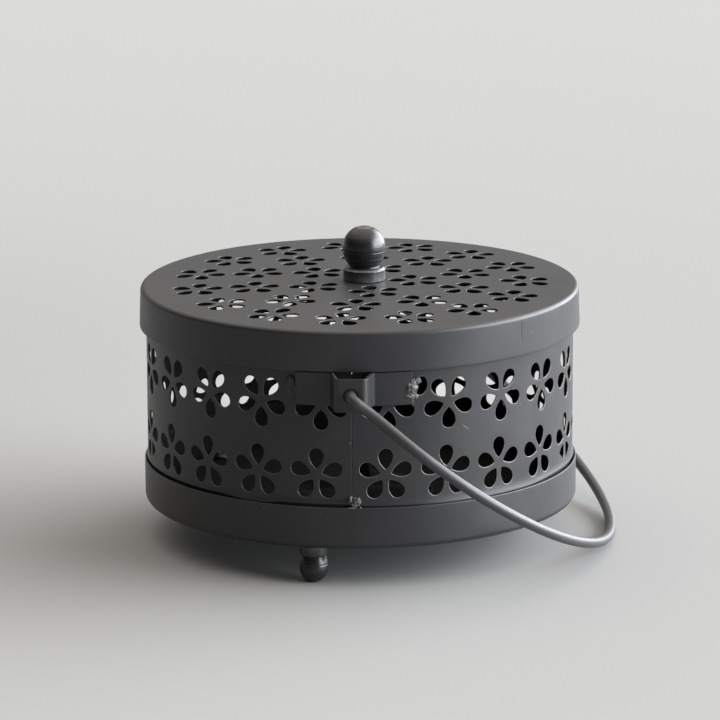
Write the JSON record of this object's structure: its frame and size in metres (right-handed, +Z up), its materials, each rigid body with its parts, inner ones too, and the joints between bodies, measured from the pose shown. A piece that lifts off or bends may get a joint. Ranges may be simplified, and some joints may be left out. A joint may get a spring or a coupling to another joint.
{
  "type": "mosquito coil holder",
  "caption": "Round pierced sheet-iron box that burns a mosquito coil inside, with a lift-off lid and ball knob, ball feet and a swinging wire bail.",
  "frame": {"origin": "middle of the pan's flat underside", "axes": "+Z up through the knob; the band's seam and the front bracket face -Y; the bail's pivot line runs along Y, and the bail hangs to +X"},
  "size_m": [0.1577, 0.182, 0.103],
  "materials": {
    "charcoal_paint": "satin charcoal paint on sheet iron",
    "turned_paint": "satin charcoal paint on turned iron, with fine turning marks",
    "wire_paint": "satin charcoal paint on bent wire",
    "weld_metal": "rough weld bead thinly painted over",
    "zinc_steel": "zinc-plated steel"
  },
  "bodies": {
    "box": {"base_pan": "charcoal_paint", "wall_band": "charcoal_paint", "front_bracket": "charcoal_paint", "rear_bracket": "charcoal_paint", "front_bracket_weld_1": "weld_metal", "front_bracket_weld_2": "weld_metal", "rear_bracket_weld_1": "weld_metal", "rear_bracket_weld_2": "weld_metal", "seam_weld": "weld_metal", "ball_foot_1": "turned_paint", "ball_foot_2": "turned_paint", "ball_foot_3": "turned_paint", "foot_screw_1": "zinc_steel", "foot_screw_2": "zinc_steel", "foot_screw_3": "zinc_steel", "coil_stand": "zinc_steel"},
    "lid": {"lid_shell": "charcoal_paint", "lid_knob": "turned_paint", "knob_washer": "zinc_steel", "knob_screw": "zinc_steel"},
    "bail": {"bail_handle": "wire_paint"}
  },
  "joints": [
    {"name": "lid_lift", "type": "slide", "parent": "box", "child": "lid", "axis": [0, 0, 1], "range_m": [0, 0.04]},
    {"name": "bail_swing", "type": "hinge", "parent": "box", "child": "bail", "pos_m": [0, 0, 0.0528], "axis": [0, -1, 0], "range_deg": [0, 254.5]}
  ]
}
